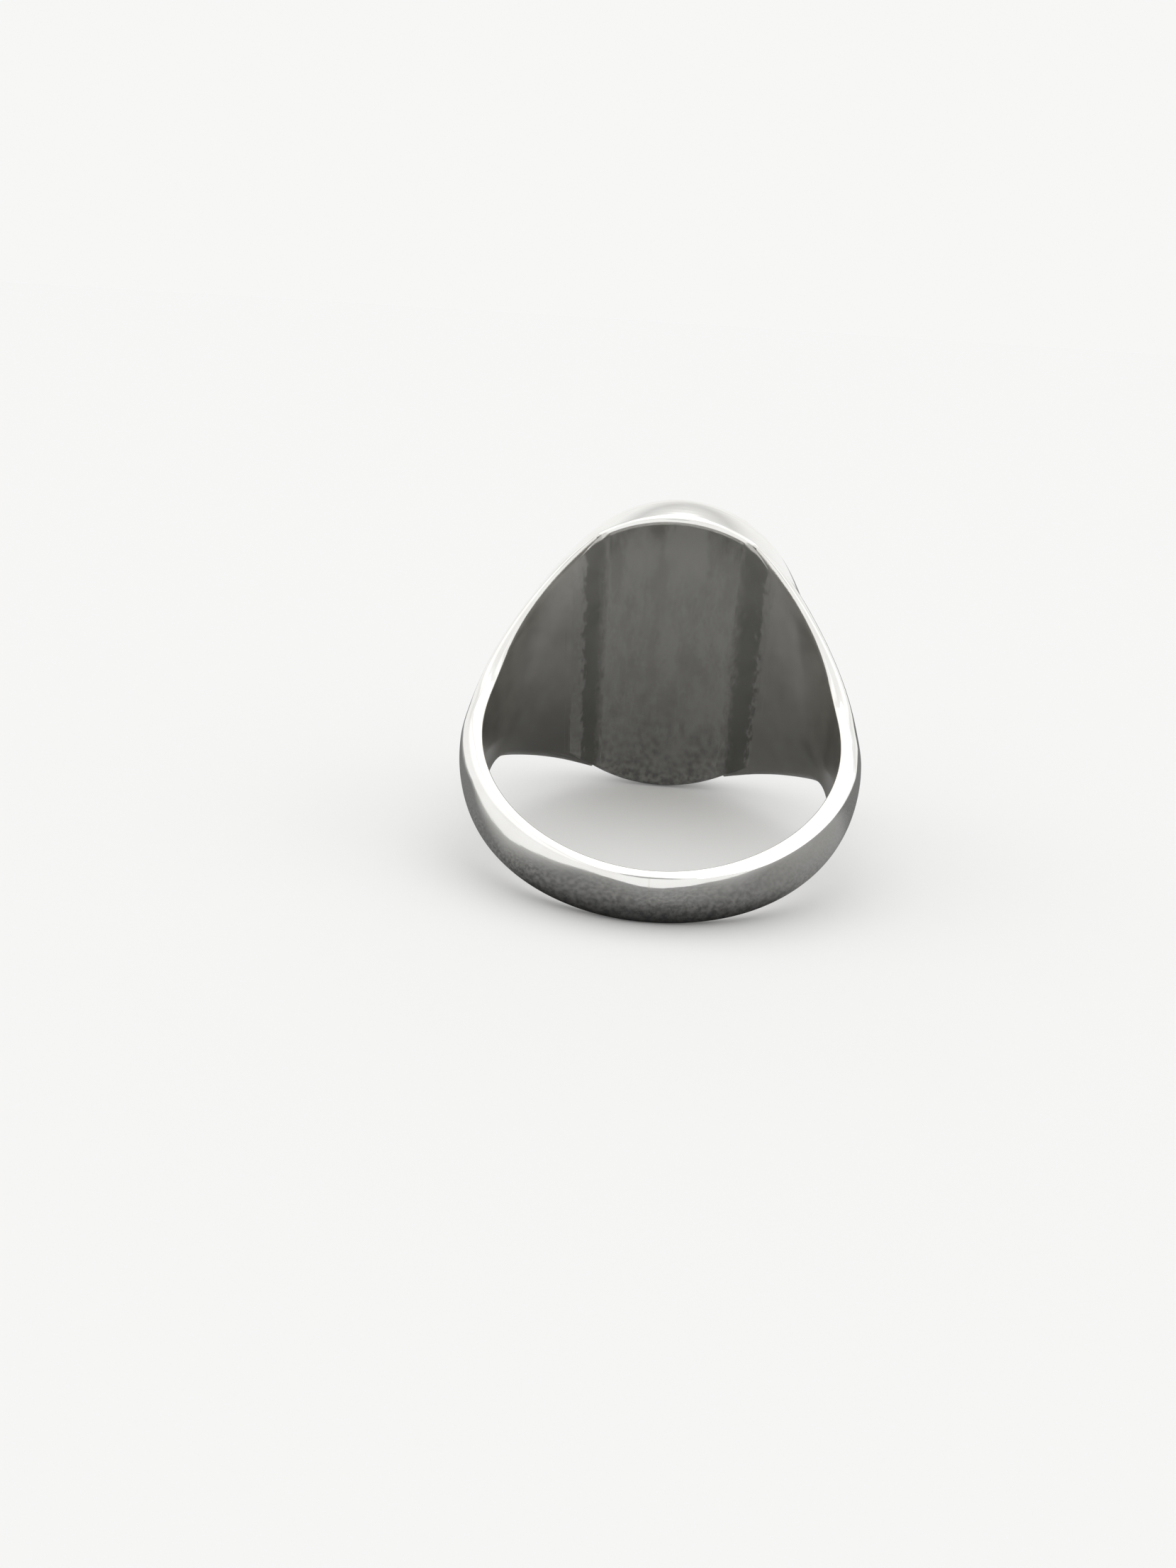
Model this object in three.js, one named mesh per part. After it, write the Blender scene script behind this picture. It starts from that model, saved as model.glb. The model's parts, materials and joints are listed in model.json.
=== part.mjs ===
// A sterling silver signet ring, in millimetres, lying on its side as it rests on a table.
//
// The ring is built on its own axes: +Z along the finger, +Y from the finger towards the oval
// head, +X across the hand. Angles run round the finger from the middle of the head (0) to the
// back of the shank (180). At the end the whole ring is tipped over until the edge of the head
// and the back of the shank touch the ground plane.
import * as THREE from "three";

// Driving dimensions.
const FINGER_RADIUS = 9.5; // the hole through the band
const HEAD_FLAT = 8.55; // finger axis to the flat underside of the head
const HEAD_TOP = 11.05; // finger axis to the face of the head
const UNDERSIDE_HALF_LENGTH = 10.05; // the head along the finger, at its underside
const UNDERSIDE_HALF_WIDTH = 8.6; // the head across the hand, at its underside
const FACE_HALF_LENGTH = 9.87; // the head along the finger, at its face
const FACE_HALF_WIDTH = 7.65; // the head across the hand, at its face
const FACE_SHIFT = 0.3; // how far the face sits to the right, as it was filed by hand
const TABLE_THICKNESS = 0.75; // the face plate
const TABLE_BEVEL = 0.28; // the bright chamfer round the face
const BAND_OUTER_RADIUS = 10.95; // crown of the shank
const BAND_OUTER_RISE = 0.53; // how far the crown's centre sits towards the head
const SHOULDER_FULLNESS = 0.9; // how far the shoulder swells towards its corner, 0 to 1
const BACK_HALF_WIDTH = 1.69; // the shank at its narrowest
const SHANK_WIDENING = 0.0009; // mm of half width per degree to the power 1.5 away from the back
const SHOULDER_START = 35; // degrees, where the oval's edge turns into the straight shoulder
const SHOULDER_BLEND = 0.45; // mm, softness of the corner between shoulder and shank
const EDGE_FLAT = 0.5; // the flat side of the band, from the finger hole outwards
const JOINT_EDGE_FLAT = 0.05; // what is left of that flat where the band meets the head
const SOLDER = 0.08; // thickness of every solder layer
const CLEARANCE = 0.01; // between a solder layer and the metal on each side of it
const SOLDER_INSET = 0.02; // how far solder stays below the polished surface

// Angles in degrees and heights worked out from them.
const JOINT_HEIGHT = HEAD_FLAT - SOLDER - 2 * CLEARANCE; // the top of each shank half
const JOINT_ANGLE = THREE.MathUtils.radToDeg(Math.acos(JOINT_HEIGHT / FINGER_RADIUS));
const SQUARE_ANGLE = 90; // from here to the back the sections are square to the band

// How finely the curved surfaces are divided.
const OVAL_SEGMENTS = 66; // not a multiple of four, so each end of the oval is a short flat
const CROWN_SEGMENTS = 24;
const DEGREES_PER_STATION = 2.8;

const silver = { color: 0xe4e4e0, metalness: 1 };
const polished = { ...silver, roughness: 0.12 };
const satin = { ...silver, color: 0xb9b9b4, roughness: 0.45 };
const solderFinish = { color: 0xd6d4ca, metalness: 1, roughness: 0.35 };

const { degToRad, radToDeg, lerp, inverseLerp, smoothstep } = THREE.MathUtils;

// The head's oval at a height: its half axes and its middle. Its sides lean in to the face.
function ovalAt(height) {
  const share = inverseLerp(HEAD_FLAT, HEAD_TOP, height);
  return {
    across: lerp(UNDERSIDE_HALF_WIDTH, FACE_HALF_WIDTH, share),
    along: lerp(UNDERSIDE_HALF_LENGTH, FACE_HALF_LENGTH, share),
    middle: FACE_SHIFT * share,
  };
}

// The crown of the shank at an angle: a circle set off towards the head, so that the back of
// the band is its thinnest part.
function shankCrown(angle) {
  const turn = degToRad(angle);
  const across = BAND_OUTER_RISE * Math.sin(turn);
  const reach = BAND_OUTER_RISE * Math.cos(turn) + Math.sqrt(BAND_OUTER_RADIUS ** 2 - across ** 2);
  return new THREE.Vector2(Math.sin(turn), Math.cos(turn)).multiplyScalar(reach);
}

// The crown of the shoulder: it leaves the head along its leaning side and reaches the shank
// upright. The corner is where those two directions meet, and the curve swells towards it.
const jointCrown = new THREE.Vector2(ovalAt(JOINT_HEIGHT).across, JOINT_HEIGHT);
const shankTop = shankCrown(SQUARE_ANGLE);
const lean = (UNDERSIDE_HALF_WIDTH - FACE_HALF_WIDTH) / (HEAD_TOP - HEAD_FLAT);
const corner = new THREE.Vector2(shankTop.x, JOINT_HEIGHT - (shankTop.x - jointCrown.x) / lean);
const shoulderCrown = new THREE.CubicBezierCurve(
  jointCrown,
  jointCrown.clone().lerp(corner, SHOULDER_FULLNESS),
  shankTop.clone().lerp(corner, SHOULDER_FULLNESS),
  shankTop,
);

// Half width of the head's underside at a distance across the hand from the finger axis.
function ovalHalfWidth(across) {
  return UNDERSIDE_HALF_LENGTH * Math.sqrt(1 - (across / UNDERSIDE_HALF_WIDTH) ** 2);
}

// Half width of the band at an angle: the oval's own edge, then a straight taper tangent to it,
// then the slow taper of the shank, with a soft corner between the two tapers.
function bandHalfWidth(angle) {
  const turn = degToRad(Math.min(angle, SHOULDER_START));
  const across = FINGER_RADIUS * Math.sin(turn);
  const oval = ovalHalfWidth(across);
  if (angle <= SHOULDER_START) return oval;
  const slope = (UNDERSIDE_HALF_LENGTH / UNDERSIDE_HALF_WIDTH) ** 2 * (across / oval);
  const slopePerDegree = slope * FINGER_RADIUS * Math.cos(turn) * degToRad(1);
  const shoulder = oval - slopePerDegree * (angle - SHOULDER_START);
  const shank = BACK_HALF_WIDTH + SHANK_WIDENING * (180 - angle) ** 1.5;
  return shank + SHOULDER_BLEND * Math.log1p(Math.exp((shoulder - shank) / SHOULDER_BLEND));
}

// How far round the head's own outline the band's crown reaches where the two meet.
const jointReach = Math.asin(bandHalfWidth(JOINT_ANGLE) / UNDERSIDE_HALF_LENGTH);

// One closed section of the band on one side of the hand, between its inner edge at an angle
// and a crown point: a flat inside, a flat edge on each side and a crowned outside. The crown
// is an arc of an oval: the head's own outline where it is not yet settled, opening to the full
// half oval of a D section. An inset draws the whole section in below the polished surface.
function bandSection(side, angle, crown, settled, inset) {
  const turn = degToRad(angle);
  const inner = new THREE.Vector2(Math.sin(turn), Math.cos(turn)).multiplyScalar(FINGER_RADIUS);
  const outward = crown.clone().sub(inner);
  const thickness = outward.length() - inset;
  outward.normalize();
  const edge = lerp(JOINT_EDGE_FLAT, EDGE_FLAT, settled);
  const halfWidth = bandHalfWidth(angle) - inset;
  const reach = lerp(jointReach, Math.PI / 2, settled);

  const points = [];
  const put = (depth, z) => {
    const p = outward.clone().multiplyScalar(depth).add(inner);
    points.push(new THREE.Vector3(side * p.x, p.y, z));
  };
  put(inset, -halfWidth);
  for (let i = 0; i <= CROWN_SEGMENTS; i += 1) {
    const bow = lerp(-reach, reach, i / CROWN_SEGMENTS);
    const rise = (Math.cos(bow) - Math.cos(reach)) / (1 - Math.cos(reach));
    put(lerp(edge, thickness, rise), (halfWidth * Math.sin(bow)) / Math.sin(reach));
  }
  put(inset, halfWidth);
  return points;
}

// The band's section at an angle. Under the head it lies flat; by the shank it has turned
// square to the band.
function shankSection(side, angle, inset = 0) {
  if (angle >= SQUARE_ANGLE) return bandSection(side, angle, shankCrown(angle), 1, inset);
  const crown = shoulderCrown.getPoint(inverseLerp(JOINT_ANGLE, SQUARE_ANGLE, angle));
  return bandSection(side, angle, crown, smoothstep(angle, JOINT_ANGLE, SQUARE_ANGLE), inset);
}

// The flat section of the solder between the band and the head, at a height.
function shoulderSection(side, height, inset) {
  const angle = radToDeg(Math.acos(height / FINGER_RADIUS));
  return bandSection(side, angle, new THREE.Vector2(ovalAt(height).across, height), 0, inset);
}

// One closed oval ring round the head at a height, drawn in from its edge by an inset.
function ovalSection(height, inset = 0) {
  const { across, along, middle } = ovalAt(height);
  return Array.from({ length: OVAL_SEGMENTS }, (_, i) => {
    const turn = (i / OVAL_SEGMENTS) * 2 * Math.PI;
    return new THREE.Vector3(
      middle + (across - inset) * Math.cos(turn),
      height,
      (along - inset) * Math.sin(turn),
    );
  });
}

// Six times the volume inside a closed surface, negative when its faces point inwards.
function signedVolume(positions, index) {
  const vertex = (i) => new THREE.Vector3().fromArray(positions, 3 * index[i]);
  let total = 0;
  for (let i = 0; i < index.length; i += 3) {
    total += vertex(i).cross(vertex(i + 1)).dot(vertex(i + 2));
  }
  return total;
}

// A closed solid through a row of sections that all have the same number of points. Its faces
// point outwards whichever way the row runs.
function loft(sections) {
  const count = sections[0].length;
  const last = (sections.length - 1) * count;
  const index = [];
  for (let start = 0; start < last; start += count) {
    for (let i = 0; i < count; i += 1) {
      const here = start + i;
      const next = start + ((i + 1) % count);
      index.push(here, next, next + count);
      index.push(here, next + count, here + count);
    }
  }
  for (let i = 1; i + 1 < count; i += 1) {
    index.push(0, i + 1, i);
    index.push(last, last + i, last + i + 1);
  }
  const positions = sections.flat().flatMap((point) => point.toArray());
  if (signedVolume(positions, index) < 0) index.reverse();

  const geometry = new THREE.BufferGeometry();
  geometry.setAttribute("position", new THREE.Float32BufferAttribute(positions, 3));
  geometry.setIndex(index);
  geometry.computeVertexNormals();
  return geometry;
}

function piece(name, sections, finish) {
  const mesh = new THREE.Mesh(loft(sections), new THREE.MeshStandardMaterial(finish));
  mesh.name = name;
  return mesh;
}

// A solder layer fills the space between two heights, less the clearance at each of them.
const lowSolder = [JOINT_HEIGHT + CLEARANCE, HEAD_FLAT - CLEARANCE];
const tableUnderside = HEAD_TOP - TABLE_THICKNESS;
const plateTop = tableUnderside - SOLDER - 2 * CLEARANCE;
const tableSolder = [plateTop + CLEARANCE, tableUnderside - CLEARANCE];

// The oval head: a thick plate, flat underneath, and the bevelled face plate soldered on it.
function head() {
  const group = new THREE.Group();
  group.add(
    piece("head_plate", [ovalSection(HEAD_FLAT), ovalSection(plateTop)], satin),
    piece("table_solder", tableSolder.map((y) => ovalSection(y, SOLDER_INSET)), solderFinish),
    piece(
      "signet_table",
      [
        ovalSection(tableUnderside),
        ovalSection(HEAD_TOP - TABLE_BEVEL),
        ovalSection(HEAD_TOP, TABLE_BEVEL),
      ],
      polished,
    ),
  );
  return group;
}

// The band: two mirrored halves, each soldered to the underside of the head at its shoulder,
// and to the other half at the sizing joint in the middle of the back.
function band() {
  const group = new THREE.Group();
  const seamHalfAngle = radToDeg((SOLDER / 2) / FINGER_RADIUS);
  const gapAngle = radToDeg(CLEARANCE / FINGER_RADIUS);
  const backEnd = 180 - seamHalfAngle - gapAngle;
  const steps = Math.round((backEnd - JOINT_ANGLE) / DEGREES_PER_STATION);
  for (const [name, side] of [["left", -1], ["right", 1]]) {
    const stations = Array.from({ length: steps + 1 }, (_, i) =>
      shankSection(side, lerp(JOINT_ANGLE, backEnd, i / steps)),
    );
    const solder = lowSolder.map((y) => shoulderSection(side, y, SOLDER_INSET));
    group.add(
      piece(`${name}_shank_half`, stations, polished),
      piece(`${name}_shoulder_solder`, solder, solderFinish),
    );
  }
  const seam = [-1, 1].map((side) => shankSection(side, 180 - seamHalfAngle, SOLDER_INSET));
  group.add(piece("back_seam_solder", seam, solderFinish));
  return group;
}

// The ring lies tipped back until the lower end of the head's underside and the lowest point of
// the back's crown, a half oval, are level. That point moves a little with the tip.
function restingTip() {
  const headEnd = UNDERSIDE_HALF_LENGTH * Math.cos(Math.PI / OVAL_SEGMENTS);
  const crownCentre = FINGER_RADIUS + EDGE_FLAT;
  const crownDepth = BAND_OUTER_RADIUS - BAND_OUTER_RISE - crownCentre;
  let tip = 0;
  for (let i = 0; i < 6; i += 1) {
    const crownEnd = Math.hypot(crownDepth * Math.tan(tip), BACK_HALF_WIDTH);
    tip = Math.atan2(headEnd - crownEnd, HEAD_FLAT + crownCentre);
  }
  return tip;
}

const ring = new THREE.Group();
ring.add(head(), band());
ring.rotation.x = restingTip();

// Set on the ground, with the origin under the middle of the ring's box.
const signetRing = new THREE.Group();
signetRing.add(ring);
const box = new THREE.Box3().setFromObject(signetRing, true);
const middle = box.getCenter(new THREE.Vector3());
ring.position.set(-middle.x, -middle.y, -box.min.z);

export default signetRing;
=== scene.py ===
"""The finished look of a sterling silver signet ring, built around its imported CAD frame.

The ring is worked out in millimetres on its own axes: x across the hand, y from the finger's axis
towards the head, z along the finger. Angles run round the finger from the middle of the head (0)
to the back of the shank (180). Every size that the CAD model has is read from its nodes.
"""

import json
import math

import bpy
import numpy as np
from mathutils import Matrix, Vector, noise


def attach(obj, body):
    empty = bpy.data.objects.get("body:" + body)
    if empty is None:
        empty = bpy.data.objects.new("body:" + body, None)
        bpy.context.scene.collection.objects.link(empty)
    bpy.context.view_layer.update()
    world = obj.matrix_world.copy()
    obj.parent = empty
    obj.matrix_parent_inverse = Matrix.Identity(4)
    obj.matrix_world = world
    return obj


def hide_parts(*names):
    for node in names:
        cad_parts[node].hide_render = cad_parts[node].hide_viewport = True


MM = 0.001
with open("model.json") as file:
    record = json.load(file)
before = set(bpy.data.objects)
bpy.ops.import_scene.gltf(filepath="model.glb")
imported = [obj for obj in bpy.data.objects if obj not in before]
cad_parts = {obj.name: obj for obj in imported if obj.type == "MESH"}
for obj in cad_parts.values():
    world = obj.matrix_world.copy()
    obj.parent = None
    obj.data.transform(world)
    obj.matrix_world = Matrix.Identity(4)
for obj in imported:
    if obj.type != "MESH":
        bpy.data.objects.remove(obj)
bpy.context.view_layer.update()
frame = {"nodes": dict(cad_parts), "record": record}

# Shape of the ring that its sizes don't give: shares, angles and softness.
SHOULDER_FULLNESS = 0.9  # how far the shoulder swells towards its corner, 0 to 1
SHOULDER_START = 35  # degrees, where the oval's edge turns into the straight shoulder
SHOULDER_BLEND = 0.45  # mm, softness of the corner between shoulder and shank
SHANK_WIDENING = 0.0009  # mm of half width per degree from the back, to the power below
SHANK_POWER = 1.5
SIDE_SHARE = 0.54  # the flat side of the band, as a share of its thickness at the back
JOINT_SIDE = 0.05  # mm, what is left of that flat where the band meets the head

# Edges and surface of the finished metal, in mm.
HEAD_EDGE = 0.28  # rounding of the head plate's underside
COVERED_EDGE = 0.01  # what is left of that rounding where the band covers the edge
CLEAR_OF_EDGE = 1.5  # the plain wall starts this many roundings above the underside
# Rounding of the finger hole's edges: (degrees round the finger, mm).
HOLE_EDGES = ((24, 0.28), (36, 0.7), (45, 0.72), (55, 0.52), (74, 0.13))
RIM_EDGE = 0.1  # rounding of the rim of the face
RIM_DROP = 0.2  # the wall carries on to this far below the face, where the bevel starts
RIM_SOFTNESS = 0.12  # height over which the wall turns in to the bevel
BEVEL_KEPT = (0.45, 0.6)  # the part of the bevel, from wall to face, that stays flat
WALL_FLARE = 0.03  # how fast the head's wall swells outwards above its underside
WALL_CLOSING = 0.0227  # how fast it then closes in towards the face
# Width of the flat upper side of the shank, as it was filed: (degrees round the finger, mm).
FILED_SIDES = {
    -1: ((90, 0.5), (104, 0.28), (150, 0.28), (166, 0.45), (180, 0.34)),
    1: ((90, 0.5), (104, 0.85), (145, 0.8), (162, 0.58), (180, 0.34)),
}
WAVES = ((0.012, 4.5), (0.003, 1.4))  # (height, length) of the unevenness hand filing leaves
INSIDE_REACH = 0.1  # the finger side's finish fades out this far from the finger hole

# The solder that fills the crease of each joint on the finger side. A band of painted shade darkens
# it from one distance across to another, given at the top of the ring and at the bottom, in mm.
CREASE_SHADE_BANDS = {
    "left": ((4.05, 4.95), (4.0, 4.85)),
    "right": ((3.85, 5.1), (4.4, 5.45)),
}
FILLET_ACROSS = (3.5, 5.9)
FILLET_SUNK = 0.014  # how far each side of it dives into the metal
FILLET_FADE = 0.5  # how far from the head's outline each end starts to dive
FILLET_DIVE = 0.1  # share of its width over which each side dives
FILLET_SHORT = 0.15  # how far each end stops short of the head's outline
FILLET_DEPTH = 0.12

# How finely each piece is divided.
OVAL_POINTS = 288
BAND_STATIONS = 220
CROWN_POINTS = 44
INSIDE_POINTS = 16
CORNER_POINTS = 9
DISC_RINGS = 40
WALL_RINGS = 24
FILLET_STATIONS = 90
FILLET_POINTS = 40


# ---------------------------------------------------------------- reading the frame

def ring_axes():
    """The ring's x, y and z as rows, in the row frame. The face's mount gives y."""
    head = Vector(frame["record"]["mounts"][0]["axis"]).normalized()
    across = Vector((1, 0, 0))
    return np.array([across, head, across.cross(head)])


AXES = ring_axes()


def node_points(name):
    """A CAD node's vertices along the ring's axes, in mm from the row's origin."""
    vertices = frame["nodes"][name].data.vertices
    return np.array([v.co for v in vertices]) @ AXES.T / MM


def finger_circle():
    """(radius, y of the finger's axis) from the inner edge of the right half of the band: its
    top corner and its end at the back lie on the circle of the finger hole."""
    points = node_points("right_shank_half")
    top = points[:, 1].max()
    corner = points[points[:, 1] > top - 0.01][:, 0].min()
    back_end = points[points[:, 0] < points[:, 0].min() + 0.005]
    back = back_end[:, 1].max()
    drop = top - back
    radius = (corner ** 2 + drop ** 2) / (2 * drop)
    return radius, back + radius


FINGER_RADIUS, axis_y = finger_circle()
plate = node_points("head_plate")
table = node_points("signet_table")
seam = node_points("back_seam_solder")
right_half = node_points("right_shank_half")
ORIGIN = np.array([0.0, axis_y, (plate[:, 2].min() + plate[:, 2].max()) / 2])
for points in (plate, table, seam, right_half):
    points -= ORIGIN

ORIGIN_ROW = ORIGIN @ AXES  # the same place along the row's axes
JOINT_HEIGHT = right_half[:, 1].max()  # the top of each half of the band
HEAD_FLAT = plate[:, 1].min()  # the flat underside of the head
PLATE_TOP = plate[:, 1].max()
TABLE_UNDERSIDE = table[:, 1].min()
HEAD_TOP = table[:, 1].max()  # the face of the head
BAND_OUTSIDE = right_half[:, 0].max()
BACK_OUTSIDE = -seam[:, 1].min()
BACK_HALF_WIDTH = seam[:, 2].max()
SIDE_FLAT = SIDE_SHARE * (BACK_OUTSIDE - FINGER_RADIUS)
CROWN_RISE = BAND_OUTSIDE - BACK_OUTSIDE  # the crown's centre sits this far towards the head


def oval_of(points, height):
    """The oval that CAD points make at a height: half width, half length and middle."""
    ring = points[np.abs(points[:, 1] - height) < 0.01]
    middle = (ring[:, 0].min() + ring[:, 0].max()) / 2
    squares = np.column_stack([(ring[:, 0] - middle) ** 2, ring[:, 2] ** 2])
    across, along = np.linalg.lstsq(squares, np.ones(len(ring)), rcond=None)[0] ** -0.5
    return across, along, middle


UNDERSIDE = oval_of(plate, HEAD_FLAT)
BEVEL_START = sorted(set(np.round(table[:, 1], 3)))[1]  # the next height above the underside
FACE_RIM = oval_of(table, BEVEL_START)
FACE = oval_of(table, HEAD_TOP)
LEAN = (UNDERSIDE[0] - FACE_RIM[0]) / (BEVEL_START - HEAD_FLAT)  # of the head's sides


# ---------------------------------------------------------------- the ring's outlines

def blend(a, b, share):
    return a + (b - a) * share


def smooth(low, high, value):
    share = np.clip((value - low) / (high - low), 0, 1)
    return share * share * (3 - 2 * share)


def oval_at(height):
    """The head's oval at a height, without its roundings. Its sides lean in to the face."""
    share = (height - HEAD_FLAT) / (BEVEL_START - HEAD_FLAT)
    return tuple(blend(low, high, share) for low, high in zip(UNDERSIDE, FACE_RIM))


def shank_crown(turn):
    """The crown of the shank: a circle set off towards the head."""
    across = CROWN_RISE * math.sin(turn)
    reach = CROWN_RISE * math.cos(turn) + math.sqrt(BAND_OUTSIDE ** 2 - across ** 2)
    return reach * np.array([math.sin(turn), math.cos(turn)])


JOINT_TURN = math.acos(JOINT_HEIGHT / FINGER_RADIUS)
SQUARE_TURN = math.pi / 2
JOINT_CROWN = np.array([oval_at(JOINT_HEIGHT)[0], JOINT_HEIGHT])
SHANK_TOP = shank_crown(SQUARE_TURN)
# Where the head's leaning side, carried on, meets the upright shank.
CORNER = np.array([SHANK_TOP[0], JOINT_HEIGHT - (SHANK_TOP[0] - JOINT_CROWN[0]) / LEAN])


def shoulder_crown(share):
    """The crown of the shoulder, a curve from the head's leaning side to the upright shank."""
    points = (
        JOINT_CROWN,
        blend(JOINT_CROWN, CORNER, SHOULDER_FULLNESS),
        blend(SHANK_TOP, CORNER, SHOULDER_FULLNESS),
        SHANK_TOP,
    )
    weights = [math.comb(3, i) * share ** i * (1 - share) ** (3 - i) for i in range(4)]
    return sum(w * p for w, p in zip(weights, points))


def band_half_width(turn):
    """Half width of the band: the oval's edge, then a straight taper, then the slower taper of
    the shank, with a soft corner between the two tapers."""
    start = min(turn, math.radians(SHOULDER_START))
    across = FINGER_RADIUS * math.sin(start)
    oval = UNDERSIDE[1] * math.sqrt(1 - (across / UNDERSIDE[0]) ** 2)
    if turn <= start:
        return oval
    slope = (UNDERSIDE[1] / UNDERSIDE[0]) ** 2 * across / oval
    shoulder = oval - slope * FINGER_RADIUS * math.cos(start) * (turn - start)
    shank = BACK_HALF_WIDTH + SHANK_WIDENING * math.degrees(math.pi - turn) ** SHANK_POWER
    return shank + SHOULDER_BLEND * np.logaddexp(0, (shoulder - shank) / SHOULDER_BLEND)


JOINT_REACH = math.asin(band_half_width(JOINT_TURN) / UNDERSIDE[1])


def line_lengths(points):
    """How far along an open line of 2-D points each point lies."""
    steps = np.linalg.norm(np.diff(points, axis=0), axis=1)
    return np.concatenate([[0], np.cumsum(steps)])


def along_line(points, distances):
    """Points at these distances along an open line of 2-D points."""
    travelled = line_lengths(points)
    return np.stack([np.interp(distances, travelled, points[:, k]) for k in (0, 1)], axis=1)


def rounded(start, control, end):
    """A softened corner in steps, from one point or ring of points to another."""
    shares = np.linspace(0, 1, CORNER_POINTS)
    return [(1 - s) ** 2 * start + 2 * s * (1 - s) * control + s ** 2 * end for s in shares]


def half_profile(half_width, thickness, side, reach, edge):
    """Half of a band section as (depth, z) points, from the middle of the inside, round the
    softened edge and over the flat side, to the middle of the crown."""
    bow = np.linspace(reach, 0, CROWN_POINTS)
    rise = (np.cos(bow) - math.cos(reach)) / (1 - math.cos(reach))
    crown = np.stack([blend(side, thickness, rise),
                      half_width * np.sin(bow) / math.sin(reach)], axis=1)
    flat = np.stack([np.linspace(0, side, 5), np.full(5, half_width)], axis=1)
    outside = np.concatenate([flat, crown[1:]])
    lengths = line_lengths(outside)
    kept = edge + lengths * (1 - edge / lengths[-1])
    outside = along_line(outside, kept)
    direction = outside[1] - outside[0]
    meets = outside[0][1] - outside[0][0] * direction[1] / max(direction[0], 1e-6)
    inner_end = np.array([0, half_width - edge])
    turned = rounded(inner_end, np.array([0, meets]), outside[0])
    inside = np.stack([np.zeros(INSIDE_POINTS), np.linspace(0, inner_end[1], INSIDE_POINTS)],
                      axis=1)
    return np.concatenate([inside, turned[1:-1], outside])


def at_turn(stops, turn):
    """A size at an angle round the finger, carried smoothly from stop to stop."""
    degrees = math.degrees(turn)
    size = stops[0][1]
    for (start, before), (end, after) in zip(stops, stops[1:]):
        size += (after - before) * float(smooth(start, end, degrees))
    return size


def band_section(turn, crown, settled, side):
    """A closed section of one side of the band, between its inner edge and its crown."""
    inner = FINGER_RADIUS * np.array([math.sin(turn), math.cos(turn)])
    outward = crown - inner
    thickness = np.linalg.norm(outward)
    outward = outward / thickness
    flat = blend(JOINT_SIDE, SIDE_FLAT, settled)
    filed_flat = blend(JOINT_SIDE, at_turn(FILED_SIDES[side], turn), settled)
    reach = blend(JOINT_REACH, math.pi / 2, settled)
    edge = at_turn(HOLE_EDGES, turn)
    half_width = band_half_width(turn)
    upper = half_profile(half_width, thickness, filed_flat, reach, edge)
    lower = half_profile(half_width, thickness, flat, reach, edge)
    profile = np.concatenate([upper, lower[-2:0:-1] * [1, -1]])
    place = inner + profile[:, :1] * outward
    return np.column_stack([side * place[:, 0], place[:, 1], profile[:, 1]])


def shank_section(turn, side):
    if turn >= SQUARE_TURN:
        return band_section(turn, shank_crown(turn), 1, side)
    share = (turn - JOINT_TURN) / (SQUARE_TURN - JOINT_TURN)
    return band_section(turn, shoulder_crown(share), smooth(0, 1, share), side)


def shoulder_section(height, side):
    """The flat section of the solder between the band and the head."""
    turn = math.acos(height / FINGER_RADIUS)
    return band_section(turn, np.array([oval_at(height)[0], height]), 0, side)


# ---------------------------------------------------------------- meshes

def hand_filed(point):
    """Small unevenness in mm at a point of the ring, the same on neighbouring pieces."""
    return sum(height * (noise.noise(Vector(point) / length) - 1) for height, length in WAVES)


def to_row(points):
    return (points + ORIGIN) @ AXES * MM


def row_faces(rows, count):
    """Faces of a closed solid through rows of points, with a flat cap at each end."""
    faces = []
    for row in range(rows - 1):
        for i in range(count):
            here = row * count + i
            beside = row * count + (i + 1) % count
            faces.append((here, beside, beside + count, here + count))
    last = (rows - 1) * count
    faces.append(tuple(range(count - 1, -1, -1)))
    faces.append(tuple(range(last, last + count)))
    return faces


def turns_inward(points, faces):
    """Whether the faces point into the solid."""
    total = 0.0
    for face in faces:
        a = points[face[0]]
        for i in range(1, len(face) - 1):
            total += np.dot(a, np.cross(points[face[i]], points[face[i + 1]]))
    return total < 0


def solid(grid, along, inside=0.0, slots=0):
    """One closed solid through a row of sections, with hand filing worked into its sides.
    The materials read `along`, mm along the work's direction, and `inside`, the share of
    finger side. `slots` gives the material slot of each row of faces."""
    rows, count = grid.shape[:2]
    points = grid.reshape(-1, 3)
    faces = row_faces(rows, count)
    inward = turns_inward(points, faces)
    lengthwise = np.gradient(grid, axis=0)
    crosswise = np.roll(grid, -1, axis=1) - np.roll(grid, 1, axis=1)
    normals = np.cross(crosswise, lengthwise).reshape(-1, 3)
    normals /= np.linalg.norm(normals, axis=1)[:, None] + 1e-12
    if inward:
        faces = [face[::-1] for face in faces]
        normals = -normals
    depth = np.array([hand_filed(p) for p in points])
    slots = np.broadcast_to(slots, rows - 1)
    return {
        "points": points + normals * depth[:, None],
        "faces": faces,
        "along": along.reshape(-1, 3),
        "inside": np.broadcast_to(inside, rows * count).ravel(),
        "slots": np.concatenate([np.repeat(slots, count), [slots[0], slots[-1]]]),
    }


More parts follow.
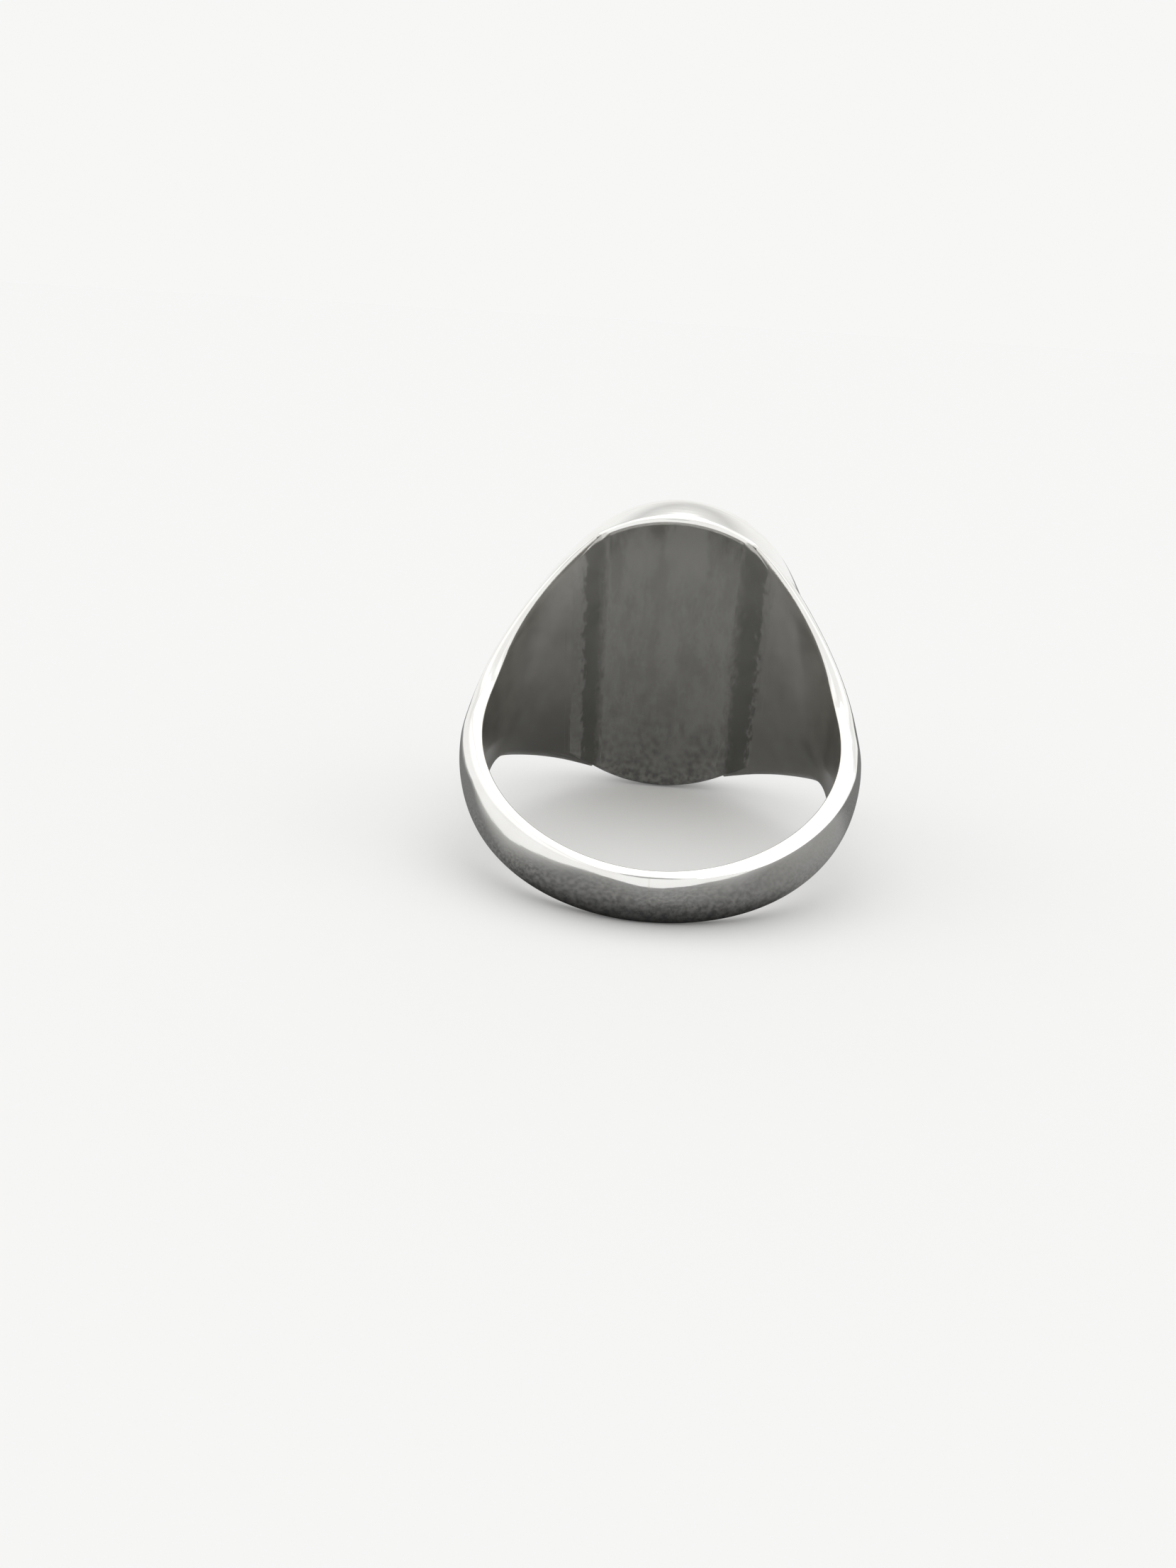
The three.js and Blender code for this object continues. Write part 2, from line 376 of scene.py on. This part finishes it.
def make_piece(name, solids, materials):
    """One object from closed solids, in the row frame."""
    faces = []
    start = 0
    for part in solids:
        faces += [tuple(i + start for i in face) for face in part["faces"]]
        start += len(part["points"])
    joined = {key: np.concatenate([part[key] for part in solids])
              for key in ("points", "along", "inside", "slots")}
    mesh = bpy.data.meshes.new(name)
    mesh.from_pydata(to_row(joined["points"]).tolist(), [], faces)
    layer = mesh.attributes.new("along", "FLOAT_VECTOR", "POINT")
    layer.data.foreach_set("vector", joined["along"].astype(np.float32).ravel())
    layer = mesh.attributes.new("inside", "FLOAT", "POINT")
    layer.data.foreach_set("value", joined["inside"].astype(np.float32))
    for material in materials:
        mesh.materials.append(material)
    mesh.polygons.foreach_set("material_index", joined["slots"].astype(np.int32))
    mesh.shade_smooth()
    mesh.set_sharp_from_angle(angle=math.radians(40))
    mesh.update()
    thing = bpy.data.objects.new(name, mesh)
    bpy.context.scene.collection.objects.link(thing)
    return thing


def band_solid(sections):
    """Part of the band, worked round the finger."""
    grid = np.array(sections)
    reach = np.hypot(grid[..., 0], grid[..., 1])
    turn = np.arctan2(grid[..., 0], grid[..., 1])
    along = np.stack([FINGER_RADIUS * turn, grid[..., 2], reach - FINGER_RADIUS], axis=-1)
    inside = 1 - smooth(0, INSIDE_REACH, reach - FINGER_RADIUS)
    return solid(grid, along, inside.ravel())


OVAL_TURNS = np.linspace(0, 2 * math.pi, OVAL_POINTS, endpoint=False)


def oval_ring(sizes, inset, height):
    """One ring of points round the head. The inset may differ from point to point."""
    across, along, middle = sizes
    x = middle + (across - inset) * np.cos(OVAL_TURNS)
    z = (along - inset) * np.sin(OVAL_TURNS)
    return np.column_stack([x, np.full(OVAL_POINTS, height), z])


def wall_ring(height):
    """The head's wall at a height. Its ends swell a little, then close in towards the face."""
    up = height - HEAD_FLAT
    swell = WALL_FLARE * up - WALL_CLOSING * up ** 3
    middle = FACE_RIM[2] * up / (BEVEL_START - HEAD_FLAT)
    sizes = (UNDERSIDE[0] - LEAN * up, UNDERSIDE[1], middle)
    return oval_ring(sizes, -swell * np.sin(OVAL_TURNS) ** 2, height)


def disc_rings(rim):
    """Rings from the middle of a flat oval out to just inside its rim."""
    middle = rim.mean(axis=0)
    return [blend(middle, rim, math.sqrt(i / DISC_RINGS)) for i in range(1, DISC_RINGS)]


def flat_work(rings):
    """The work's direction on a flat: mm along the finger and across the hand."""
    grid = np.array(rings)
    return np.stack([grid[..., 2], grid[..., 0], grid[..., 1]], axis=-1)


def wall_work(rings):
    """The work's direction on the head's wall: mm round the oval and up."""
    grid = np.array(rings)
    turn = np.arctan2(grid[..., 2], grid[..., 0])
    return np.stack([UNDERSIDE[0] * turn, grid[..., 1], np.zeros_like(turn)], axis=-1)


def wall_rings(low, high):
    return [wall_ring(height) for height in np.linspace(low, high, WALL_RINGS)]


def head_plate(wall_finish, flat_finish):
    """The thick plate of the head. Its lower edge is rounded, except where the band covers it."""
    full = oval_ring(UNDERSIDE, 0, HEAD_FLAT)
    band_start = FINGER_RADIUS * math.sin(JOINT_TURN)
    covered = smooth(band_start, band_start + HEAD_EDGE, np.abs(full[:, 0]))
    edge = HEAD_EDGE * (1 - covered) + COVERED_EDGE
    underside = oval_ring(UNDERSIDE, edge, HEAD_FLAT)
    low_wall = wall_ring(HEAD_FLAT + HEAD_EDGE)
    above = blend(full, low_wall, (edge / HEAD_EDGE).clip(0, 1)[:, None])
    bottom = disc_rings(underside)
    soft = rounded(underside, full, above)
    wall = wall_rings(HEAD_FLAT + HEAD_EDGE * CLEAR_OF_EDGE, PLATE_TOP)
    rings = bottom + soft + wall
    slots = np.zeros(len(rings) - 1, int)
    slots[:len(bottom) + 1] = 1
    along = np.concatenate([flat_work(bottom), wall_work(soft + wall)])
    return make_piece("head_plate_finished", [solid(np.array(rings), along, 0.0, slots)],
                      [wall_finish, flat_finish])


def table_solder(finish):
    """The thin layer between the plate with the face and the head plate."""
    rings = [wall_ring(height) for height in (PLATE_TOP, TABLE_UNDERSIDE)]
    return make_piece("table_solder_finished", [solid(np.array(rings), wall_work(rings))],
                      [finish])


def signet_table(finish):
    """The plate with the face. A narrow bevel runs between its wall and its rim."""
    rim = oval_ring(FACE, 0, HEAD_TOP)
    bevel_foot = wall_ring(HEAD_TOP - RIM_DROP)
    flat_start, flat_end = (blend(bevel_foot, rim, share) for share in BEVEL_KEPT)
    inner_face = oval_ring(FACE, RIM_EDGE, HEAD_TOP)
    wall = wall_rings(TABLE_UNDERSIDE, HEAD_TOP - RIM_DROP - RIM_SOFTNESS)
    side = wall[:-1] + rounded(wall[-1], bevel_foot, flat_start)
    side += rounded(flat_end, rim, inner_face)
    face = disc_rings(inner_face)[::-1]
    along = np.concatenate([wall_work(side), flat_work(face)])
    return make_piece("signet_table_finished", [solid(np.array(side + face), along)], [finish])


def back_turns(points):
    """Angles from the back of the shank."""
    return np.arctan2(points[:, 0], -points[:, 1])


SEAM_TURN = (back_turns(seam).max() + back_turns(right_half).min()) / 2


def shank_half(word, side, finish):
    turns = np.linspace(JOINT_TURN, math.pi - SEAM_TURN, BAND_STATIONS)
    sections = [shank_section(turn, side) for turn in turns]
    return make_piece(f"{word}_shank_half_finished", [band_solid(sections)], [finish])


def fillet_height(across):
    """The height of the filled crease above the finger's axis. It leaves the flat and meets the
    finger hole without an edge."""
    start, end = FILLET_ACROSS
    foot = math.sqrt(FINGER_RADIUS ** 2 - end ** 2)
    slope = -end / foot
    bend = end - (foot - HEAD_FLAT) / slope
    a = start - 2 * bend + end
    share = (start - bend + math.sqrt((start - bend) ** 2 - a * (start - across))) / a
    return HEAD_FLAT + (foot - HEAD_FLAT) * share ** 2


def fillet(word, side):
    """The thin skin of solder over the finger side of a joint. Its ends dive into the metal and
    follow the rounding of the edge."""
    top, bottom = (np.array(ends) for ends in CREASE_SHADE_BANDS[word])
    shares = np.linspace(0, 1, FILLET_POINTS)
    across = blend(*FILLET_ACROSS, shares)
    full = UNDERSIDE[1] * np.sqrt(1 - (across / UNDERSIDE[0]) ** 2)
    raised = smooth(0, FILLET_DIVE, shares) * (1 - smooth(1 - FILLET_DIVE, 1, shares))
    height = np.array([fillet_height(x) for x in across]) + blend(FILLET_SUNK, 0, raised)
    metal = np.minimum(HEAD_FLAT, np.sqrt(FINGER_RADIUS ** 2 - across ** 2))
    edge = np.array([at_turn(HOLE_EDGES, math.asin(x / FINGER_RADIUS)) for x in across])
    sections = []
    darkness = []
    for turn in np.linspace(-math.pi / 2, math.pi / 2, FILLET_STATIONS):
        level = math.sin(turn)
        z = level * (full - FILLET_SHORT)
        from_edge = full - np.abs(z)
        sunk = edge - np.sqrt(edge ** 2 - (edge - np.minimum(from_edge, edge)) ** 2)
        level_with = blend(metal + FILLET_SUNK, height, smooth(0, FILLET_FADE, from_edge))
        front = np.column_stack([side * across, level_with + sunk, z])
        back = front[::-1] + [0, FILLET_DEPTH, 0]
        sections.append(np.concatenate([front, back]))
        # where the band of painted shade lies across the crease at this station
        dark = blend(bottom, top, (level + 1) / 2)
        share = (across - dark[0]) / (dark[1] - dark[0])
        darkness.append(np.concatenate([share, share[::-1]]))
    grid = np.array(sections)
    slots = np.ones(FILLET_STATIONS - 1, int)
    return solid(grid, flat_work(grid), np.array(darkness).ravel(), slots)


def shoulder_solder(word, side, finish, fillet_finish_and_shade):
    sections = [shoulder_section(height, side) for height in (JOINT_HEIGHT, HEAD_FLAT)]
    return make_piece(f"{word}_shoulder_solder_finished",
                      [band_solid(sections), fillet(word, side)], [finish, fillet_finish_and_shade])


def back_seam(finish):
    ends = [shank_section(math.pi - SEAM_TURN, side) for side in (1, -1)]
    return make_piece("back_seam_solder_finished", [band_solid(ends)], [finish])


# ---------------------------------------------------------------- materials

def node(tree, kind, inputs=(), **settings):
    """A new shader node with its settings and its inputs, each a value or another's output."""
    made = tree.nodes.new(kind)
    for key, value in settings.items():
        setattr(made, key, value)
    for key, value in dict(inputs).items():
        if isinstance(value, bpy.types.NodeSocket):
            tree.links.new(value, made.inputs[key])
        else:
            made.inputs[key].default_value = value
    return made


def math_node(tree, operation, a, b=0.0):
    return node(tree, "ShaderNodeMath", {0: a, 1: b}, operation=operation).outputs[0]


def spread(tree, value, low, high, new_low, new_high):
    """The value, carried smoothly from one range to another."""
    made = node(tree, "ShaderNodeMapRange",
                {"Value": value, "From Min": low, "From Max": high,
                 "To Min": new_low, "To Max": new_high}, interpolation_type="SMOOTHSTEP")
    return made.outputs["Result"]


def stretched(tree, place, scale):
    made = node(tree, "ShaderNodeVectorMath", {0: place, 1: scale}, operation="MULTIPLY")
    return made.outputs[0]


def noise_at(tree, place, scale, detail=2.0, roughness=0.5):
    made = node(tree, "ShaderNodeTexNoise",
                {"Vector": place, "Scale": scale, "Detail": detail, "Roughness": roughness})
    return made.outputs[0]


def bumped(tree, height, depth, under=None):
    """A normal with bumps of this depth in mm on top of another normal."""
    inputs = {"Height": height, "Distance": depth * MM, "Strength": 1.0}
    if under is not None:
        inputs["Normal"] = under
    return node(tree, "ShaderNodeBump", inputs).outputs["Normal"]


def mixed_colour(tree, share, a, b):
    made = node(tree, "ShaderNodeMix", data_type="RGBA")
    for key, value in (("Factor_Float", share), ("A_Color", a), ("B_Color", b)):
        socket = next(i for i in made.inputs if i.identifier == key)
        if isinstance(value, bpy.types.NodeSocket):
            tree.links.new(value, socket)
        else:
            socket.default_value = (*value, 1)
    return next(o for o in made.outputs if o.identifier == "Result_Color")


def metal(name):
    """A metal material: its node tree, its shader, and the places its patterns are read from."""
    material = bpy.data.materials.new(name)
    material.use_nodes = True
    tree = material.node_tree
    shader = tree.nodes["Principled BSDF"]
    shader.inputs["Metallic"].default_value = 1
    along = node(tree, "ShaderNodeAttribute", attribute_name="along").outputs["Vector"]
    inside = node(tree, "ShaderNodeAttribute", attribute_name="inside").outputs["Fac"]
    return material, tree, shader, along, inside


def hairlines(tree, along, scale):
    """Fine lines along the work, 0 to 1."""
    lines = noise_at(tree, stretched(tree, along, scale), 1.0, 3.0, 0.6)
    return spread(tree, lines, 0.35, 0.7, 0.0, 1.0)


def dings(tree, along, scale, rarity):
    """Small dents, few and far between, 0 to 1."""
    spots = noise_at(tree, along, scale, 0.0)
    return spread(tree, spots, rarity, rarity + 0.08, 0.0, 1.0)


def polished_silver():
    """Hand-polished silver: brighter outside, duller and a little tarnished on the finger side,
    with painted shade that darkens the finger side most of all low on the left half."""
    material, tree, shader, along, inside = metal("polished_silver")
    cloudy = noise_at(tree, along, 0.35, 3.0)
    fine = noise_at(tree, along, 2.2, 2.0)
    lines = hairlines(tree, along, (0.12, 5.0, 5.0))
    outside_rough = math_node(tree, "ADD", spread(tree, cloudy, 0.3, 0.7, 0.06, 0.13),
                              math_node(tree, "MULTIPLY", lines, 0.04))
    inside_rough = math_node(tree, "ADD", spread(tree, cloudy, 0.3, 0.7, 0.13, 0.22),
                             math_node(tree, "MULTIPLY", fine, 0.05))
    mixed = node(tree, "ShaderNodeMix", {0: inside, 2: outside_rough, 3: inside_rough})
    tree.links.new(mixed.outputs[0], shader.inputs["Roughness"])
    tint = spread(tree, noise_at(tree, along, 0.6, 3.0), 0.35, 0.65, 0.0, 1.0)
    colour = mixed_colour(tree, tint, (0.925, 0.915, 0.89), (0.955, 0.95, 0.935))
    worn_and_shaded = mixed_colour(tree, tint, (0.87, 0.85, 0.8), (0.94, 0.925, 0.88))
    round_finger, lengthwise, _ = node(tree, "ShaderNodeSeparateXYZ", {0: along}).outputs
    # painted shade: the finger side is darkened low down, most of all on the left half
    painted_shade_low_left = math_node(tree, "MULTIPLY", spread(tree, lengthwise, -6.0, -0.5, 0.9, 0.0),
                        spread(tree, round_finger, -3.0, 3.0, 1.0, 0.3))
    worn_and_shaded = mixed_colour(tree, painted_shade_low_left, worn_and_shaded, (0.55, 0.54, 0.515))
    tree.links.new(mixed_colour(tree, inside, colour, worn_and_shaded), shader.inputs["Base Color"])
    normal = bumped(tree, lines, 0.0008)
    normal = bumped(tree, fine, 0.0018, normal)
    dents = math_node(tree, "SUBTRACT", 1.0, dings(tree, along, 1.3, 0.76))
    normal = bumped(tree, dents, 0.003, normal)
    tree.links.new(normal, shader.inputs["Normal"])
    return material


def satin_silver():
    """Silver left satin on the head's underside, mottled and faintly streaked."""
    material, tree, shader, along, _ = metal("satin_silver")
    patches = noise_at(tree, stretched(tree, along, (0.3, 0.9, 1.0)), 1.0, 4.0)
    grain = noise_at(tree, stretched(tree, along, (3.0, 7.0, 5.0)), 1.0, 3.0, 0.65)
    streaks = hairlines(tree, along, (0.35, 4.0, 1.0))
    rough = math_node(tree, "ADD", spread(tree, patches, 0.3, 0.7, 0.1, 0.16),
                      math_node(tree, "MULTIPLY", grain, 0.06))
    tree.links.new(rough, shader.inputs["Roughness"])
    mottle = math_node(tree, "ADD", math_node(tree, "MULTIPLY", patches, 0.65),
                       math_node(tree, "MULTIPLY", grain, 0.35))
    share = spread(tree, mottle, 0.4, 0.6, 0.0, 1.0)
    colour = mixed_colour(tree, share, (0.84, 0.83, 0.785), (0.96, 0.95, 0.91))
    tree.links.new(colour, shader.inputs["Base Color"])
    normal = bumped(tree, streaks, 0.0007)
    normal = bumped(tree, grain, 0.0035, normal)
    tree.links.new(normal, shader.inputs["Normal"])
    return material


def flush_solder():
    """Silver solder where it was polished flush: a little warmer than the silver, and pitted."""
    material, tree, shader, along, _ = metal("silver_solder")
    cloudy = noise_at(tree, along, 0.8, 3.0)
    colour = mixed_colour(tree, spread(tree, cloudy, 0.35, 0.65, 0.0, 1.0),
                          (0.88, 0.865, 0.82), (0.93, 0.92, 0.885))
    tree.links.new(colour, shader.inputs["Base Color"])
    tree.links.new(spread(tree, cloudy, 0.3, 0.7, 0.08, 0.16), shader.inputs["Roughness"])
    pits = math_node(tree, "SUBTRACT", 1.0, dings(tree, along, 6.0, 0.72))
    tree.links.new(bumped(tree, pits, 0.0006), shader.inputs["Normal"])
    return material


def fillet_solder():
    """Solder left unpolished where it ran into the crease: painted shade darkens the crease, and
    the solder is rubbed bright on both sides of it. Here `inside` runs from 0 to 1 across the dark
    part."""
    material, tree, shader, along, inside = metal("fillet_solder")
    ragged = noise_at(tree, stretched(tree, along, (1.2, 3.0, 1.0)), 1.0, 4.0, 0.65)
    grain = noise_at(tree, stretched(tree, along, (3.0, 7.0, 5.0)), 1.0, 3.0, 0.65)
    place = math_node(tree, "ADD", inside, spread(tree, ragged, 0.2, 0.8, -0.3, 0.3))
    near = spread(tree, place, -0.55, 0.2, 0.0, 1.0)
    far = spread(tree, place, 0.84, 1.12, 1.0, 0.0)
    dark = math_node(tree, "MULTIPLY", near, far)
    patches = spread(tree, noise_at(tree, along, 0.6, 3.0), 0.3, 0.7, 0.85, 1.0)
    dark = math_node(tree, "MULTIPLY", dark, patches)
    bright = mixed_colour(tree, spread(tree, grain, 0.35, 0.65, 0.0, 1.0),
                          (0.86, 0.845, 0.80), (0.94, 0.93, 0.89))
    # painted shade: the dark band across the crease takes this darker colour
    colour = mixed_colour(tree, dark, bright, (0.47, 0.465, 0.44))
    tree.links.new(colour, shader.inputs["Base Color"])
    tree.links.new(spread(tree, dark, 0.0, 1.0, 0.15, 0.27), shader.inputs["Roughness"])
    normal = bumped(tree, ragged, 0.002)
    tree.links.new(bumped(tree, grain, 0.002, normal), shader.inputs["Normal"])
    return material


# ---------------------------------------------------------------- the stage

# The dark card on the ground that the silver mirrors, as a slate slab is seen in it. Its outline
# and the places on it are in mm, from the point under the middle of the ring. A row of four
# numbers is two places and how strong something is at each of them.
CARD_OUTLINE = (
    (-39, 8), (-31, 2), (-20, -4.5), (-13, -9), (-10.5, -14), (-8, -17), (-3.5, -16.5),
    (1, -15), (13, -15), (25.5, -11), (60, 10), (105, 60), (110, 245), (45, 175), (-15, 75),
    (-30, 30),
)
CARD_HEIGHT = 0.02
CARD_SPECKLE = 2600.0  # per metre
CARD_DARK = (0.115, 0.116, 0.118)
CARD_LIGHT = (0.235, 0.235, 0.232)
# painted sheen: the paler colour along the card's rim, weaker under the ring than beside it
CARD_RIM_SHEEN = (0.4, 0.4, 0.395)
CARD_RIM_REACH = 0.3  # share of the way in to the ring that the paler rim reaches
CARD_RIM_SIDES = (1, 10, 0.45, 1.2)  # stronger on both sides of the ring than under it
CARD_RIGHT = (0.36, 0.36, 0.355)
CARD_RIGHT_ACROSS = (3, 15, 0.0, 0.6)  # the paler right side
CARD_RIGHT_ALONG = (-1, 5, 1.0, 0.0)
CARD_SHADOW = (0.01, 0.01, 0.01)  # where the back of the shank stands on it
CARD_SHADOW_RADIUS = 8.5
CARD_SHADOW_REACH = 2.2
CARD_SHADOW_BACK = (-9, -5, 0.8, 0.0)

FLOOR_GREY = (0.825, 0.825, 0.825)
FLOOR_RADIUS = 2.5  # metres

LENS = 30.92
CAMERA_PLACE = Vector((-0.12, -71.81, 29.11)) * MM
CAMERA_DOWN = 19.73  # degrees below level
CAMERA_LEFT = 3.0  # degrees turned from +Y towards -X
CAMERA_ROLL = 3.61
CAMERA_FRONT = 9 * MM  # radius of the camera's front, as the silver mirrors it
CAMERA_FRONT_GREY = (0.4, 0.4, 0.4)

OVERHEAD_STRENGTH = 0.5
OVERHEAD_WIDTH = 65  # degrees

# Brightness of the room by height above the level, as (sine of the height, brightness).
ROOM_FRONT = ((0, 0.93), (0.12, 0.88), (0.7, 0.9), (0.87, 1.0), (1, 1.0))
ROOM_BACK = ((0, 0.93), (0.45, 0.93), (0.57, 0.8), (0.68, 0.64), (0.78, 0.76), (0.87, 0.92),
             (1, 1.0))
ROOM_SIDES = (1.12, 1.12, 1.11)
ROOM_BACK_SIDES = (0.83, 0.83, 0.82)


def plain_material(name, colour):
    material = bpy.data.materials.new(name)
    material.use_nodes = True
    shader = material.node_tree.nodes["Principled BSDF"]
    shader.inputs["Base Color"].default_value = (*colour, 1)
    shader.inputs["Roughness"].default_value = 1
    shader.inputs["Specular IOR Level"].default_value = 0
    return material


def floor():
    bpy.ops.mesh.primitive_circle_add(vertices=128, radius=FLOOR_RADIUS, fill_type="NGON")
    ground = bpy.context.object
    ground.name = "floor"
    ground.data.materials.append(plain_material("pale_floor", FLOOR_GREY))


def only_mirrored(thing):
    """Seen in mirrors only, so it shows in the silver and nowhere else."""
    thing.visible_camera = False
    thing.visible_diffuse = False
    thing.visible_shadow = False
    thing.visible_transmission = False


def card_material():
    """Speckled dark grey, with a painted sheen along the card's rim, paler on its right, and a
    painted shadow, darkest where the back of the shank stands on it."""
    material = plain_material("dark_card", CARD_DARK)
    tree = material.node_tree
    place = node(tree, "ShaderNodeTexCoord").outputs["Object"]
    place_mm = stretched(tree, place, (1 / MM, 1 / MM, 1 / MM))
    parts = node(tree, "ShaderNodeSeparateXYZ", {0: place_mm}).outputs
    speckle = noise_at(tree, place, CARD_SPECKLE, 3.0, 0.7)
    colour = mixed_colour(tree, spread(tree, speckle, 0.35, 0.65, 0.0, 1.0), CARD_DARK, CARD_LIGHT)

    # painted sheen along the rim, stronger on both sides of the ring than under it
    rim = node(tree, "ShaderNodeAttribute", attribute_name="rim").outputs["Fac"]
    beside = spread(tree, math_node(tree, "ABSOLUTE", parts["X"]), *CARD_RIM_SIDES)
    colour = mixed_colour(tree, math_node(tree, "MULTIPLY", rim, beside), colour, CARD_RIM_SHEEN)

    right = math_node(tree, "MULTIPLY", spread(tree, parts["X"], *CARD_RIGHT_ACROSS),
                      spread(tree, parts["Y"], *CARD_RIGHT_ALONG))
    colour = mixed_colour(tree, right, colour, CARD_RIGHT)

    from_ring = node(tree, "ShaderNodeVectorMath", {0: place_mm, 1: (0, ORIGIN_ROW[1], 0)},
                     operation="SUBTRACT").outputs[0]
    radius = node(tree, "ShaderNodeVectorMath", {0: from_ring}, operation="LENGTH").outputs["Value"]
    off = math_node(tree, "ABSOLUTE", math_node(tree, "SUBTRACT", radius, CARD_SHADOW_RADIUS))
    shadow = math_node(tree, "MULTIPLY", spread(tree, off, 0.0, CARD_SHADOW_REACH, 1.0, 0.0),
                       spread(tree, parts["Y"], *CARD_SHADOW_BACK))
    colour = mixed_colour(tree, shadow, colour, CARD_SHADOW)
    tree.links.new(colour, tree.nodes["Principled BSDF"].inputs["Base Color"])
    return material


def dark_card():
    """The card, with a rim that reaches some way in from its outline."""
    outline = np.array(CARD_OUTLINE, float)
    count = len(outline)
    inner = blend(outline, np.array([0, ORIGIN_ROW[1]]), CARD_RIM_REACH)
    flat = np.concatenate([outline, inner])
    points = np.column_stack([flat, np.full(2 * count, CARD_HEIGHT)]) * MM
    faces = [(i, (i + 1) % count, (i + 1) % count + count, i + count) for i in range(count)]
    faces.append(tuple(range(count, 2 * count)))
    mesh = bpy.data.meshes.new("dark_card")
    mesh.from_pydata(points.tolist(), [], faces)
    layer = mesh.attributes.new("rim", "FLOAT", "POINT")
    layer.data.foreach_set("value", [1.0] * count + [0.0] * count)
    mesh.materials.append(card_material())
    card = bpy.data.objects.new("dark_card", mesh)
    bpy.context.scene.collection.objects.link(card)
    only_mirrored(card)


def camera_front():
    """The grey front of the camera, which every tight rounding of the silver mirrors."""
    bpy.ops.mesh.primitive_circle_add(vertices=48, radius=CAMERA_FRONT, fill_type="NGON")
    front = bpy.context.object
    front.name = "camera_front"
    front.matrix_world = Matrix.Translation(CAMERA_PLACE) @ camera_turn()
    front.data.materials.append(plain_material("camera_front", CAMERA_FRONT_GREY))
    only_mirrored(front)


def overhead():
    """A wide soft light straight above."""
    data = bpy.data.lights.new("overhead", "SUN")
    data.energy = OVERHEAD_STRENGTH
    data.angle = math.radians(OVERHEAD_WIDTH)
    lamp = bpy.data.objects.new("overhead", data)
    bpy.context.scene.collection.objects.link(lamp)


def ramp(tree, value, stops):
    made = node(tree, "ShaderNodeValToRGB", {0: value})
    elements = made.color_ramp.elements
    while len(elements) < len(stops):
        elements.new(1)
    for element, (place, grey) in zip(elements, stops):
        element.position = place
        element.color = (grey, grey, grey * 0.99, 1)
    return made.outputs["Color"]


def room():
    """A pale room: white above, off-white in front, greyer high up behind the ring, bright on
    both sides in front and dimmer on both sides behind."""
    sky = bpy.data.worlds.new("room")
    bpy.context.scene.world = sky
    sky.use_nodes = True
    tree = sky.node_tree
    toward = node(tree, "ShaderNodeTexCoord").outputs["Generated"]
    parts = node(tree, "ShaderNodeSeparateXYZ", {0: toward}).outputs
    behind = spread(tree, parts["Y"], -0.1, 0.2, 0.0, 1.0)
    colour = mixed_colour(tree, behind, ramp(tree, parts["Z"], ROOM_FRONT),
                          ramp(tree, parts["Z"], ROOM_BACK))
    beside = spread(tree, math_node(tree, "ABSOLUTE", parts["X"]), 0.35, 0.75, 0.0, 1.0)
    raised = spread(tree, parts["Z"], 0.1, 0.35, 0.0, 1.0)
    sides = math_node(tree, "MULTIPLY", beside, raised)
    for to_front, to_back, brightness in ((1.0, 0.0, ROOM_SIDES), (0.0, 1.0, ROOM_BACK_SIDES)):
        part = spread(tree, parts["Y"], 0.35, 0.6, to_front, to_back)
        colour = mixed_colour(tree, math_node(tree, "MULTIPLY", sides, part), colour, brightness)
    tree.links.new(colour, tree.nodes["Background"].inputs["Color"])


def camera_turn():
    heading = Matrix.Rotation(math.radians(CAMERA_LEFT), 4, "Z")
    pitch = Matrix.Rotation(math.radians(90 - CAMERA_DOWN), 4, "X")
    roll = Matrix.Rotation(math.radians(CAMERA_ROLL), 4, "Z")
    return heading @ pitch @ roll


def camera():
    data = bpy.data.cameras.new("camera")
    data.lens = LENS
    data.sensor_width = 36
    data.clip_start = 0.001
    data.clip_end = 10
    view = bpy.data.objects.new("camera", data)
    bpy.context.scene.collection.objects.link(view)
    view.matrix_world = Matrix.Translation(CAMERA_PLACE) @ camera_turn()
    bpy.context.scene.camera = view


# ---------------------------------------------------------------- putting it together

silver = polished_silver()
satin = satin_silver()
flush = flush_solder()
# solder with a band of painted shade in the crease
flowed_and_shaded = fillet_solder()

pieces = [
    (head_plate(silver, satin), "head_plate", "satin_silver"),
    (table_solder(flush), "table_solder", "silver_solder"),
    (signet_table(silver), "signet_table", "polished_silver"),
    (back_seam(flush), "back_seam_solder", "silver_solder"),
]
for word, side in (("left", -1), ("right", 1)):
    half = shank_half(word, side, silver)
    pieces.append((half, f"{word}_shank_half", "polished_silver"))
    joint = shoulder_solder(word, side, flush, flowed_and_shaded)
    pieces.append((joint, f"{word}_shoulder_solder", "silver_solder"))
for piece, replaced, slot in pieces:
    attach(piece, "root")
    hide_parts(replaced)

floor()
dark_card()
camera_front()
room()
overhead()
camera()
bpy.context.scene.view_settings.view_transform = "Standard"
